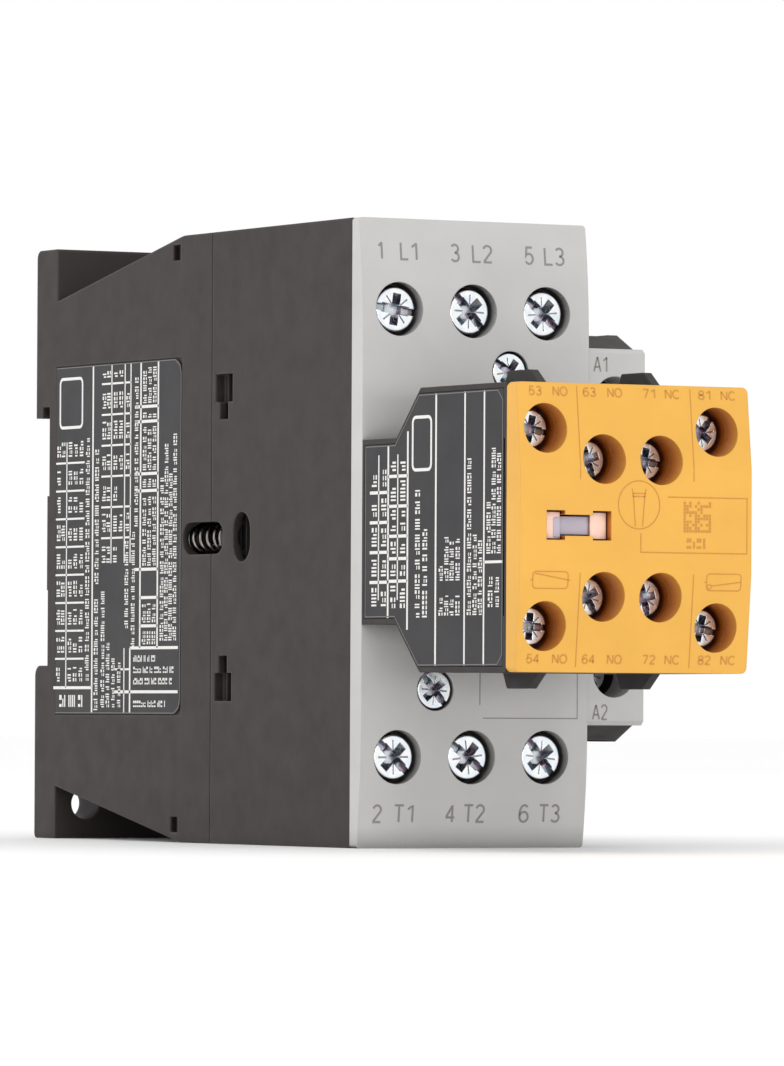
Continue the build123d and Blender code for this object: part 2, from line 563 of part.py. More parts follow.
def aux_strips(columns, strip_depth):
    """Terminal plate, leg and inner strip of the fixed contacts in some of the columns."""
    def strip(x, z, side):
        outer = max(z + 3.4, 13.6)
        body = zblock(side, x - 2.6, x + 2.6, AUX_PLATE_DEPTH, AUX_PLATE_DEPTH + AUX_PLATE_T,
                      z - 3.0, outer)
        body += zblock(side, x - 2.0, x + 2.0, strip_depth, AUX_PLATE_DEPTH + 0.5, 10.9, 11.7)
        body += zblock(side, x - 2.0, x + 2.0, strip_depth, strip_depth + 0.8, 4.6, 11.7)
        return body - post(x, side * z, 1.55, AUX_PLATE_DEPTH - 1, AUX_PLATE_DEPTH + 2)
    return [strip(AUX_X[c], AUX_SCREW_Z[c], side) for c in columns for side in (1, -1)]


NO_STRIP_DEPTH = AUX_BAR_DEPTH - 2 * AUX_TIP_T - CONTACT_GAP - 0.8
NC_STRIP_DEPTH = AUX_BAR_DEPTH + AUX_BAR_T + 2 * AUX_TIP_T + GAP


def aux_tips(columns, depth):
    return [post(AUX_X[c], side * AUX_TIP_Z, AUX_TIP_R, depth, depth + AUX_TIP_T)
            for c in columns for side in (1, -1)]


def aux_fixed_tips():
    return aux_tips((0, 1), NO_STRIP_DEPTH + 0.8) + aux_tips((2, 3), NC_STRIP_DEPTH - AUX_TIP_T)


def aux_moving_tips():
    front = AUX_BAR_DEPTH + AUX_BAR_T
    return aux_tips((0, 1), AUX_BAR_DEPTH - AUX_TIP_T) + aux_tips((2, 3), front)


def aux_bridges(columns):
    return [block(AUX_X[c] - 2.0, AUX_X[c] + 2.0, AUX_BAR_DEPTH, AUX_BAR_DEPTH + AUX_BAR_T, -8, 8)
            for c in columns]


NO_WINDOW = (AUX_BAR_DEPTH - GAP, 119.6)
NC_WINDOW = (110.2, AUX_BAR_DEPTH + AUX_BAR_T + LAG + GAP)


def aux_slider():
    body = block(-20.9, 10.6, 104.4, 122.0, -2.5, 2.5)
    for column, (d0, d1) in enumerate([NO_WINDOW, NO_WINDOW, NC_WINDOW, NC_WINDOW]):
        x = AUX_X[column]
        body -= block(x - 2.5, x + 2.5, d0, d1, -3, 3)
    for x in LEG_X:
        body += block(x - 1.2, x + 1.2, 93.6, 104.6, -1.9, 1.9)
        body += block(x - 0.95, x + 0.95, 90.2, 94.0, -1.9, 1.9)
    return body


def aux_contact_springs(columns, d0, d1):
    return [spring(at(AUX_X[c], d0 + GAP, 0), FORWARD, 1.6, 0.35, d1 - d0 - 2 * GAP, 4)
            for c in columns]


def indicator_slide():
    """The two end blocks of the switching indicator on a common stem."""
    body = block(-17.9, -9.3, 122.0 + GAP, 134.6, -1.0, 1.5)
    for x0, x1 in ((-18.3, -15.9), (-11.3, -8.9)):
        body += block(x0, x1, 133.4, 138.6, -1.45, 2.0)
    return body


def indicator_insert():
    return block(-15.9 + GAP, -11.3 - GAP, 134.6 + GAP, 138.2, -0.9, 1.45)


def aux_terminal_clamps():
    def clamp(x, z, side):
        plate = zblock(side, x - 2.7, x + 2.7, 131.5, 132.3, z - 2.9, z + 2.9)
        return plate - post(x, side * z, 1.6, 131, 133)
    return [clamp(x, z, side) for x, z in zip(AUX_X, AUX_SCREW_Z) for side in (1, -1)]


def aux_terminal_screws():
    turns = {1: (12, 70, 10, 128), -1: (4, 60, 76, 14)}
    return [screw(x, side * z, 2.55, 132.35, 135.2, 1.5, AUX_PLATE_DEPTH, turn)
            for side in (1, -1) for x, z, turn in zip(AUX_X, AUX_SCREW_Z, turns[side])]


# ---- all nodes ----------------------------------------------------------------------------------
save("base_housing", base_housing())
save("upper_housing", upper_housing())
save("front_cover", front_cover())
save("coil_terminal_cover", coil_terminal_cover())
save("type_label", type_label())
save("housing_screws", housing_screws())
save("rail_latch", rail_latch())
save("rail_latch_spring", rail_latch_spring())

save("core_buffer", core_buffer())
save("fixed_core", fixed_core())
save("shading_rings", shading_rings())
save("coil_bobbin", coil_bobbin())
save("coil_winding", coil_winding())
save("armature", armature())
save("armature_pin", armature_pin())
save("armature_pad", armature_pad())
save("coil_terminals", coil_terminals())
save("coil_terminal_clamps", coil_terminal_clamps())
save("coil_terminal_screws", coil_terminal_screws())

save("line_contacts", contact_bars(1))
save("load_contacts", contact_bars(-1))
save("fixed_contact_tips", fixed_contact_tips())
for number, pole_x in enumerate(POLE_X, start=1):
    save(f"moving_bridge_{number}", moving_bridge(pole_x))
save("moving_contact_tips", moving_contact_tips())
save("contact_springs", contact_springs())
save("main_terminal_cages", main_terminal_cages())
save("main_terminal_screws", main_terminal_screws())
save("arc_chute_plates", arc_chute_plates())
save("contact_carrier", contact_carrier())
save("return_spring_left", return_spring(-1))
save("return_spring_right", return_spring(1))

save("aux_housing", aux_housing())
save("aux_side_label", aux_side_label())
save("aux_cover", aux_cover())
save("aux_no_contacts", aux_strips((0, 1), NO_STRIP_DEPTH))
save("aux_nc_contacts", aux_strips((2, 3), NC_STRIP_DEPTH))
save("aux_fixed_tips", aux_fixed_tips())
save("aux_no_bridges", aux_bridges((0, 1)))
save("aux_nc_bridges", aux_bridges((2, 3)))
save("aux_moving_tips", aux_moving_tips())
save("aux_no_springs", aux_contact_springs((0, 1), AUX_BAR_DEPTH + AUX_BAR_T, NO_WINDOW[1]))
save("aux_nc_springs", aux_contact_springs((2, 3), NC_WINDOW[0], AUX_BAR_DEPTH))
save("aux_slider", aux_slider())
save("indicator_slide", indicator_slide())
save("indicator_insert", indicator_insert())
save("aux_terminal_clamps", aux_terminal_clamps())
save("aux_terminal_screws", aux_terminal_screws())
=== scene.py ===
import math
import random

import bmesh
import bpy
from mathutils import Matrix, Vector


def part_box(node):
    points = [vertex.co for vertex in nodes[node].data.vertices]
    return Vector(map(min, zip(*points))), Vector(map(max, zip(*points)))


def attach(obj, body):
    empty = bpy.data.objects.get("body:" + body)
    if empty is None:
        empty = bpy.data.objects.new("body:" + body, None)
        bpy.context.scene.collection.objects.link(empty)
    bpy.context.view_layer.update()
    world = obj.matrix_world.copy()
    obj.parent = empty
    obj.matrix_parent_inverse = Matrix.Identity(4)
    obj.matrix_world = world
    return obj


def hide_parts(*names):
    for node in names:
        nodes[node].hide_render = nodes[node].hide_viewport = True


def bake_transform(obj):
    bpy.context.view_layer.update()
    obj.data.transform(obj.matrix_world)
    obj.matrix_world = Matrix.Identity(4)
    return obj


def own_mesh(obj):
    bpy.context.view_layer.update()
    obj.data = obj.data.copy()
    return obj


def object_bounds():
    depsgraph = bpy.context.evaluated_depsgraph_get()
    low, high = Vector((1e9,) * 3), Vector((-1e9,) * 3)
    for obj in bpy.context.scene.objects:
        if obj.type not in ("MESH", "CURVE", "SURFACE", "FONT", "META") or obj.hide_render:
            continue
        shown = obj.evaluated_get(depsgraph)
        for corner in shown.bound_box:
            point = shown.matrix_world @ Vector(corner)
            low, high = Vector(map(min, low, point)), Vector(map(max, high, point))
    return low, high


# Looks of the rail-mounted contactor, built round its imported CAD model. Lengths in this script are
# millimetres in the row frame and become metres when a mesh is made. "Depth" is the distance in
# front of the back plane, as in the part's source.

MM = 0.001
ROOT = "housing"

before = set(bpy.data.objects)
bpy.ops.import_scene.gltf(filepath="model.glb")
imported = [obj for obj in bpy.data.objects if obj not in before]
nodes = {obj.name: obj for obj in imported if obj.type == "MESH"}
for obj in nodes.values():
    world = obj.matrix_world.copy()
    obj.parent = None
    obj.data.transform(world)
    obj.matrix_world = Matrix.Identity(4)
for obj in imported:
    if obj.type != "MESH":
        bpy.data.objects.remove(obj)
cad_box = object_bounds()


def box_mm(node):
    low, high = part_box(node)
    return low / MM, high / MM


BACK_Y = box_mm("base_housing")[1].y
LEFT_X = box_mm("base_housing")[0].x
GREY_LOW, GREY_HIGH = box_mm("front_cover")
COIL_LOW, COIL_HIGH = box_mm("coil_terminal_cover")
YELLOW_LOW, YELLOW_HIGH = box_mm("aux_cover")


def y_at(depth):
    return BACK_Y - depth


# ---- materials ----------------------------------------------------------------------------------
def srgb(*channels):
    """Linear colour of a display colour given from 0 to 255."""
    linear = []
    for channel in channels:
        c = channel / 255
        linear.append(c / 12.92 if c <= 0.04045 else ((c + 0.055) / 1.055) ** 2.4)
    return (*linear, 1.0)


# sockets of the Mix node that carry its factor and its colours
MIX_FACTOR, MIX_A, MIX_B, MIX_RESULT = 0, 6, 7, 2


class Shader:
    """A small builder of one procedural material on the Principled shader."""

    def __init__(self, name, roughness, metallic=0.0, specular=0.5):
        self.material = bpy.data.materials.new(name)
        self.material.use_nodes = True
        self.tree = self.material.node_tree
        self.principled = self.tree.nodes["Principled BSDF"]
        self.principled.inputs["Metallic"].default_value = metallic
        self.principled.inputs["Roughness"].default_value = roughness
        self.principled.inputs["Specular IOR Level"].default_value = specular
        self.place = self.tree.nodes.new("ShaderNodeTexCoord").outputs["Object"]

    def node(self, kind, **values):
        made = self.tree.nodes.new(kind)
        for key, value in values.items():
            if key in made.inputs:
                made.inputs[key].default_value = value
            else:
                setattr(made, key, value)
        return made

    def link(self, source, target):
        self.tree.links.new(source, target)

    def noise(self, size, detail=2.0, stretch=None):
        """Soft noise whose blotches are about size millimetres across."""
        made = self.node("ShaderNodeTexNoise", Scale=1 / (size * MM), Detail=detail)
        place = self.place
        if stretch:
            mapping = self.node("ShaderNodeMapping", Scale=stretch)
            self.link(place, mapping.inputs["Vector"])
            place = mapping.outputs["Vector"]
        self.link(place, made.inputs["Vector"])
        return made.outputs["Fac"]

    def ranged(self, value, low, high, from_low=0.3, from_high=0.7):
        """value taken from from_low...from_high to low...high."""
        limits = {"From Min": from_low, "From Max": from_high, "To Min": low, "To Max": high}
        made = self.node("ShaderNodeMapRange", **limits)
        self.link(value, made.inputs["Value"])
        return made.outputs["Result"]

    def mix(self, factor, first, second):
        """first where factor is 0 and second where it is 1; each is a colour or a socket."""
        made = self.node("ShaderNodeMix", data_type="RGBA")
        self.link(factor, made.inputs[MIX_FACTOR])
        for socket, colour in ((made.inputs[MIX_A], first), (made.inputs[MIX_B], second)):
            if isinstance(colour, tuple):
                socket.default_value = colour
            else:
                self.link(colour, socket)
        return made.outputs[MIX_RESULT]

    def sheltered(self, reach):
        """How open each point is to its surroundings within reach millimetres: 0 far down in a hole.
        Painted shade is laid where this is low.
        """
        made = self.node("ShaderNodeAmbientOcclusion", samples=8, Distance=reach * MM)
        return made.outputs["AO"]

    def bump(self, height, distance, strength=0.5, normal=None):
        made = self.node("ShaderNodeBump", Strength=strength, Distance=distance * MM)
        self.link(height, made.inputs["Height"])
        if normal is not None:
            self.link(normal, made.inputs["Normal"])
        return made.outputs["Normal"]

    def soft_edge(self, radius):
        """Normals rounded over the edges, and how far each point's normal was turned."""
        bevel = self.node("ShaderNodeBevel", samples=6, Radius=radius * MM)
        geometry = self.tree.nodes.new("ShaderNodeNewGeometry")
        dot = self.node("ShaderNodeVectorMath", operation="DOT_PRODUCT")
        self.link(bevel.outputs["Normal"], dot.inputs[0])
        self.link(geometry.outputs["True Normal"], dot.inputs[1])
        return bevel.outputs["Normal"], dot.outputs["Value"]

    def finish(self, colour=None, normal=None, roughness=None):
        for name, value in (("Base Color", colour), ("Normal", normal), ("Roughness", roughness)):
            if isinstance(value, tuple):
                self.principled.inputs[name].default_value = value
            elif value is not None:
                self.link(value, self.principled.inputs[name])
        return self.material


def shade(colour, factor):
    return (*(min(1.0, c * factor) for c in colour[:3]), 1.0)


def moulded_plastic(name, colour, roughness, specular, edge=0.2, edge_highlight=1.25, hollow_shade=None, reach=3.0,
                    hollow=(0.2, 0.7), pit_shade=None):
    """Moulded plastic: spark-eroded grain, faint blotches, painted highlights on the edges and
    painted shade in hollows.

    Painted shade: hollows take the given shade colour as their openness falls through the range
    hollow, and the bottom of a hole that goes far in takes that colour darkened further by the given
    factor.
    """
    s = Shader(name, roughness, specular=specular)
    blotch = s.noise(9.0, 3.0)
    tone = s.mix(s.ranged(blotch, 0, 1), shade(colour, 0.96), shade(colour, 1.04))
    open_air, hollow_shade = s.sheltered(reach), hollow_shade or shade(colour, 0.35)
    # painted shade in hollows, mixed in where the point is sheltered
    tone = s.mix(s.ranged(open_air, 1, 0, *hollow), tone, hollow_shade)
    # painted shade, darker still at the bottom of holes
    if pit_shade:
        tone = s.mix(s.ranged(open_air, 1, 0, 0.05, 0.45), tone, shade(hollow_shade, pit_shade))
    rounded, turned = s.soft_edge(edge)
    # painted highlight: the colour is lightened along edges, where the rounded normal turns away
    # from the face
    edge_lit = s.mix(s.ranged(turned, 1, 0, 0.8, 0.995), tone, shade(colour, edge_highlight))
    normal = s.bump(s.noise(0.22, 1.0), 0.012, 0.6, rounded)
    rough = s.ranged(s.noise(3.0, 4.0), roughness - 0.05, roughness + 0.07)
    return s.finish(edge_lit, normal, rough)


def printed_film(name, colour):
    """Glossy printed film with a slight orange peel."""
    s = Shader(name, 0.38, specular=0.3)
    tone = s.mix(s.ranged(s.noise(12.0), 0, 1), shade(colour, 0.93), shade(colour, 1.08))
    normal = s.bump(s.noise(0.9), 0.006, 0.4)
    rough = s.ranged(s.noise(5.0, 3.0), 0.32, 0.46)
    return s.finish(tone, normal, rough)


def ink(name, colour, roughness=0.55):
    """Printing ink, a little uneven where it lies on the grain."""
    s = Shader(name, roughness, specular=0.25)
    tone = s.mix(s.ranged(s.noise(0.25, 2.0), 0, 1), shade(colour, 0.92), shade(colour, 1.06))
    return s.finish(tone, s.bump(s.noise(0.2), 0.004, 0.4))


def plated_metal(name, colour, tint, roughness, scratch=0.004, hollow_shade=0.26):
    """Plated metal: drifting tints, painted shade in recesses, fine scratches and uneven gloss."""
    s = Shader(name, roughness, metallic=1.0)
    tone = s.mix(s.ranged(s.noise(1.3, 2.0), 0, 1, 0.38, 0.62), colour, tint)
    # painted shade in recesses: the colour darkened by the shade factor and tinted teal and purple,
    # mixed in where the point is sheltered
    teal, purple = (0.7, 1.0, 1.05, 1.0), (1.35, 0.98, 1.3, 1.0)
    recess_shade = s.mix(s.ranged(s.noise(0.7, 2.0), 0, 1, 0.42, 0.58),
                 *(tuple(c * t for c, t in zip(shade(colour, hollow_shade), cast))
                   for cast in (teal, purple)))
    tone = s.mix(s.ranged(s.sheltered(1.5), 1, 0, 0.5, 0.86), tone, recess_shade)
    rounded, _ = s.soft_edge(0.1)
    scratches = s.noise(0.5, 4.0, (1.0, 1.0, 6.0))
    normal = s.bump(scratches, scratch, 0.5, rounded)
    rough = s.ranged(s.noise(0.8, 3.0), roughness - 0.07, roughness + 0.1)
    return s.finish(tone, normal, rough)


def laminated_steel(name, colour):
    """Stacked sheets of core steel, seen as fine lines across the pack."""
    s = Shader(name, 0.4, metallic=1.0)
    wave = s.node("ShaderNodeTexWave", wave_type="BANDS", bands_direction="X", Scale=314.0,
                  Distortion=0.0)
    s.link(s.place, wave.inputs["Vector"])
    tone = s.mix(s.ranged(wave.outputs["Fac"], 0, 1, 0.0, 0.25), shade(colour, 0.45), colour)
    normal = s.bump(wave.outputs["Fac"], 0.03, 0.7)
    rough = s.ranged(s.noise(2.0, 3.0), 0.34, 0.5)
    return s.finish(tone, normal, rough)


def wound_copper(name, colour):
    """Enamelled wire in tight turns round the bobbin."""
    s = Shader(name, 0.3, metallic=0.8)
    wave = s.node("ShaderNodeTexWave", wave_type="BANDS", bands_direction="Y", Scale=900.0,
                  Distortion=0.3)
    s.link(s.place, wave.inputs["Vector"])
    tone = s.mix(s.ranged(wave.outputs["Fac"], 0, 1, 0.0, 0.5), shade(colour, 0.4), colour)
    normal = s.bump(wave.outputs["Fac"], 0.05, 0.8)
    return s.finish(tone, normal)


HOUSING_GREY = srgb(51, 45, 44)
COVER_GREY = srgb(190, 189, 187)
COVER_YELLOW = srgb(222, 167, 71)

# every moulded plastic below has painted highlights on its edges and painted shade in its hollows;
# every plated metal has painted shade in its recesses
MATERIALS = {
    "housing_grey": moulded_plastic("housing_grey", HOUSING_GREY, 0.55, 0.3, 0.55, 2.4),
    "cover_grey": moulded_plastic("cover_grey", COVER_GREY, 0.48, 0.4, edge_highlight=1.06, reach=6.0,
                                  hollow_shade=srgb(70, 68, 66)),
    "aux_black": moulded_plastic("aux_black", srgb(44, 39, 39), 0.5, 0.3, 0.3, 2.0),
    # painted shade in the yellow cover's holes: orange on their walls, near black at their bottom
    "cover_yellow": moulded_plastic("cover_yellow", COVER_YELLOW, 0.45, 0.35, edge_highlight=1.08,
                                    reach=6.0, hollow_shade=srgb(192, 82, 8), hollow=(0.1, 0.92),
                                    pit_shade=0.08),
    "label_black": printed_film("label_black", srgb(38, 37, 40)),
    "zinc_plated": plated_metal("zinc_plated", (0.9, 0.91, 0.9, 1), (0.78, 0.84, 0.9, 1), 0.2,
                                hollow_shade=0.34),
    "plated_steel": plated_metal("plated_steel", (0.62, 0.62, 0.62, 1), (0.55, 0.56, 0.6, 1), 0.32,
                                 hollow_shade=0.5),
    "spring_steel": plated_metal("spring_steel", (0.3, 0.28, 0.26, 1), (0.24, 0.21, 0.2, 1), 0.26,
                                 hollow_shade=0.5),
    "core_steel": laminated_steel("core_steel", (0.5, 0.5, 0.52, 1)),
    "copper": plated_metal("copper", (0.86, 0.5, 0.34, 1), (0.78, 0.42, 0.28, 1), 0.3, hollow_shade=0.5),
    "winding": wound_copper("winding", (0.72, 0.3, 0.14, 1)),
    "silver_tip": plated_metal("silver_tip", (0.88, 0.87, 0.84, 1), (0.8, 0.78, 0.74, 1), 0.35,
                               hollow_shade=0.5),
    "bobbin_white": moulded_plastic("bobbin_white", srgb(226, 222, 212), 0.5, 0.4, edge_highlight=1.02),
    "carrier_dark": moulded_plastic("carrier_dark", srgb(48, 45, 44), 0.5, 0.35, edge_highlight=1.4),
    "rubber_black": moulded_plastic("rubber_black", srgb(28, 28, 28), 0.8, 0.2),
    "indicator_cream": moulded_plastic("indicator_cream", srgb(244, 210, 192), 0.4, 0.4, edge_highlight=1.02,
                                       hollow_shade=srgb(150, 96, 66), reach=1.5),
    "indicator_lavender": moulded_plastic("indicator_lavender", srgb(184, 178, 192), 0.4, 0.4,
                                          edge_highlight=1.02, hollow_shade=srgb(120, 96, 96), reach=1.5),
    "latch_grey": moulded_plastic("latch_grey", srgb(58, 55, 55), 0.5, 0.35, edge_highlight=1.4),
}
WHITE_INK = ink("white_ink", srgb(228, 226, 223))
EDGE_INK = ink("edge_ink", srgb(120, 118, 116))
GREY_INK = ink("grey_ink", srgb(140, 136, 131))
BROWN_INK = ink("brown_ink", srgb(196, 140, 62))

FINISH = {
    "housing_grey": ["base_housing", "upper_housing"],
    "cover_grey": ["front_cover", "coil_terminal_cover"],
    "aux_black": ["aux_housing"],
    "cover_yellow": ["aux_cover"],
    "label_black": ["type_label", "aux_side_label"],
    "zinc_plated": ["main_terminal_screws", "housing_screws", "coil_terminal_screws",
                    "aux_terminal_screws"],
    "plated_steel": ["arc_chute_plates", "coil_terminals", "main_terminal_cages",
                     "coil_terminal_clamps", "aux_terminal_clamps"],
    "spring_steel": ["armature_pin"],
    "core_steel": ["fixed_core", "armature"],
    "copper": ["line_contacts", "load_contacts", "moving_bridge_1", "moving_bridge_2",
               "moving_bridge_3", "aux_no_contacts", "aux_nc_contacts", "aux_no_bridges",
               "aux_nc_bridges", "shading_rings"],
    "winding": ["coil_winding"],
    "silver_tip": ["fixed_contact_tips", "moving_contact_tips", "aux_fixed_tips",
                   "aux_moving_tips"],
    "bobbin_white": ["coil_bobbin"],
    "carrier_dark": ["contact_carrier", "aux_slider"],
    "rubber_black": ["core_buffer", "armature_pad"],
    "indicator_cream": ["indicator_slide"],
    "indicator_lavender": ["indicator_insert"],
    "latch_grey": ["rail_latch"],
}
for finish, names in FINISH.items():
    for name in names:
        mesh = nodes[name].data
        mesh.materials.clear()
        mesh.materials.append(MATERIALS[finish])


# ---- pieces -------------------------------------------------------------------------------------
def add_piece(name, verts, faces, material, body=ROOT, smooth=False):
    """A closed mesh from millimetre points, riding on a body, or on none yet."""
    mesh = bpy.data.meshes.new(name)
    mesh.from_pydata([Vector(v) * MM for v in verts], [], faces)
    shape = bmesh.new()
    shape.from_mesh(mesh)
    bmesh.ops.remove_doubles(shape, verts=shape.verts, dist=1e-8)
    bmesh.ops.recalc_face_normals(shape, faces=shape.faces)
    shape.to_mesh(mesh)
    shape.free()
    if smooth:
        mesh.shade_smooth()
    mesh.materials.append(material)
    made = bpy.data.objects.new(name, mesh)
    bpy.context.scene.collection.objects.link(made)
    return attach(made, body) if body else made


# ---- springs ------------------------------------------------------------------------------------
DEPTHWISE, UPRIGHT = 1, 2    # which way a spring's axis runs
SPRING_SIDES = 10
SPRING_STEPS = 36            # points in each turn
CLOSED_TURNS = 0.75          # the end turns that lie flat


def coil_points(centre, axis, length, radius, wire, turns):
    """Skin of one coil spring with closed ends, round centre along axis."""
    total = turns + 2 * CLOSED_TURNS
    count = round(total * SPRING_STEPS)
    rise = length - wire * (1 + 2 * CLOSED_TURNS)
    verts, faces = [], []
    along = Vector((0, 1, 0)) if axis == DEPTHWISE else Vector((0, 0, 1))
    first = Vector((1, 0, 0))
    second = along.cross(first)
    for i in range(count + 1):
        turn = total * i / count
        height = wire / 2 + wire * min(turn, CLOSED_TURNS)
        height += wire * max(0.0, turn - total + CLOSED_TURNS)
        height += rise * min(max(turn - CLOSED_TURNS, 0.0), turns) / turns
        angle = 2 * math.pi * turn
        radial = first * math.cos(angle) + second * math.sin(angle)
        middle = centre + radial * (radius - wire / 2) + along * (height - length / 2)
        for k in range(SPRING_SIDES):
            round_wire = 2 * math.pi * k / SPRING_SIDES
            verts.append(middle + (radial * math.cos(round_wire)
                                   + along * math.sin(round_wire)) * wire / 2)
    for i in range(count):
        for k in range(SPRING_SIDES):
            a, b = i * SPRING_SIDES + k, i * SPRING_SIDES + (k + 1) % SPRING_SIDES
            faces.append((a, b, b + SPRING_SIDES, a + SPRING_SIDES))
    faces.append(tuple(range(SPRING_SIDES)))
    faces.append(tuple(count * SPRING_SIDES + k for k in range(SPRING_SIDES)))
    return verts, faces


def springs(node, number, axis, wire, turns, body):
    """The springs of one CAD node, evenly spaced across it, as one piece that replaces it."""
    low, high = box_mm(node)
    radius = (high.z - low.z) / 2 if axis == DEPTHWISE else (high.y - low.y) / 2
    length = high[axis] - low[axis]
    middle = (low + high) / 2
    verts, faces = [], []
    for i in range(number):
        share = i / (number - 1) if number > 1 else 0.5
        x = low.x + radius + (high.x - low.x - 2 * radius) * share if number > 1 else middle.x
        coil, skin = coil_points(Vector((x, middle.y, middle.z)), axis, length, radius, wire, turns)
        start = len(verts)
        verts += coil
        faces += [tuple(start + k for k in face) for face in skin]
    piece = add_piece(node + "_coil", verts, faces, MATERIALS["spring_steel"], body, smooth=True)
    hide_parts(node)
    return piece, low * MM, high * MM


for side in ("left", "right"):
    piece, low, high = springs("return_spring_" + side, 1, DEPTHWISE, 0.5, 4.4, ROOT)
    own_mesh(piece)
piece, low, high = springs("rail_latch_spring", 1, UPRIGHT, 0.35, 7, ROOT)
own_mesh(piece)
piece, low, high = springs("contact_springs", 3, DEPTHWISE, 0.5, 3, "carrier")
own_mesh(piece)
piece, low, high = springs("aux_no_springs", 2, DEPTHWISE, 0.35, 3, "aux_slider")
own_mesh(piece)
# springs of the break contacts reach from the slider to the bridges
piece, low, high = springs("aux_nc_springs", 2, DEPTHWISE, 0.35, 3, None)
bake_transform(piece)


# ---- print --------------------------------------------------------------------------------------
INK_PROUD, INK_SUNK = 0.02, 0.02


def arc(u, v, wide, tall, start, end):
    """Points on an ellipse between two angles in degrees; a full turn comes back to its start."""
    steps = max(2, round(abs(end - start) / 15))
    turn = [math.radians(start + (end - start) * i / steps) for i in range(steps + 1)]
    points = [(u + wide * math.cos(a), v + tall * math.sin(a)) for a in turn]
    if abs(end - start) == 360:
        points[-1] = points[0]
    return points


# width and pen strokes of the terminal markings, on a cap height of 1
GLYPH_GAP = 0.2
GLYPHS = {
    "1": (0.4, [[(0.06, 0.76), (0.36, 0.97)], [(0.36, 1), (0.36, 0)]]),
    "2": (0.5, [arc(0.25, 0.74, 0.24, 0.26, 165, -35) + [(0.03, 0.04)], [(0, 0), (0.5, 0)]]),
    "3": (0.5, [arc(0.24, 0.76, 0.22, 0.24, 150, -90), arc(0.24, 0.26, 0.25, 0.26, 90, -150)]),
    "4": (0.54, [[(0.4, 0), (0.4, 1)], [(0.38, 0.96), (0.02, 0.3)], [(0, 0.27), (0.54, 0.27)]]),
    "5": (0.5, [[(0.46, 1), (0.1, 1), (0.06, 0.52)] + arc(0.24, 0.31, 0.25, 0.31, 130, -150)]),
    "6": (0.5, [arc(0.25, 0.3, 0.25, 0.3, 0, 360), arc(0.28, 0.5, 0.28, 0.5, 50, 195)]),
    "7": (0.5, [[(0, 1), (0.5, 1)], [(0.48, 0.97), (0.16, 0)]]),
    "8": (0.5, [arc(0.25, 0.76, 0.21, 0.24, 0, 360), arc(0.25, 0.26, 0.25, 0.26, 0, 360)]),
    "A": (0.62, [[(0, 0), (0.3, 1)], [(0.32, 1), (0.62, 0)], [(0.12, 0.32), (0.5, 0.32)]]),
    "C": (0.62, [arc(0.34, 0.5, 0.34, 0.5, 45, 315)]),
    "L": (0.46, [[(0, 1), (0, 0), (0.46, 0)]]),
    "N": (0.56, [[(0, 0), (0, 1)], [(0.02, 0.98), (0.54, 0.02)], [(0.56, 0), (0.56, 1)]]),
    "O": (0.7, [arc(0.35, 0.5, 0.35, 0.5, 0, 360)]),
    "T": (0.56, [[(0, 1), (0.56, 1)], [(0.28, 0.98), (0.28, 0)]]),
}


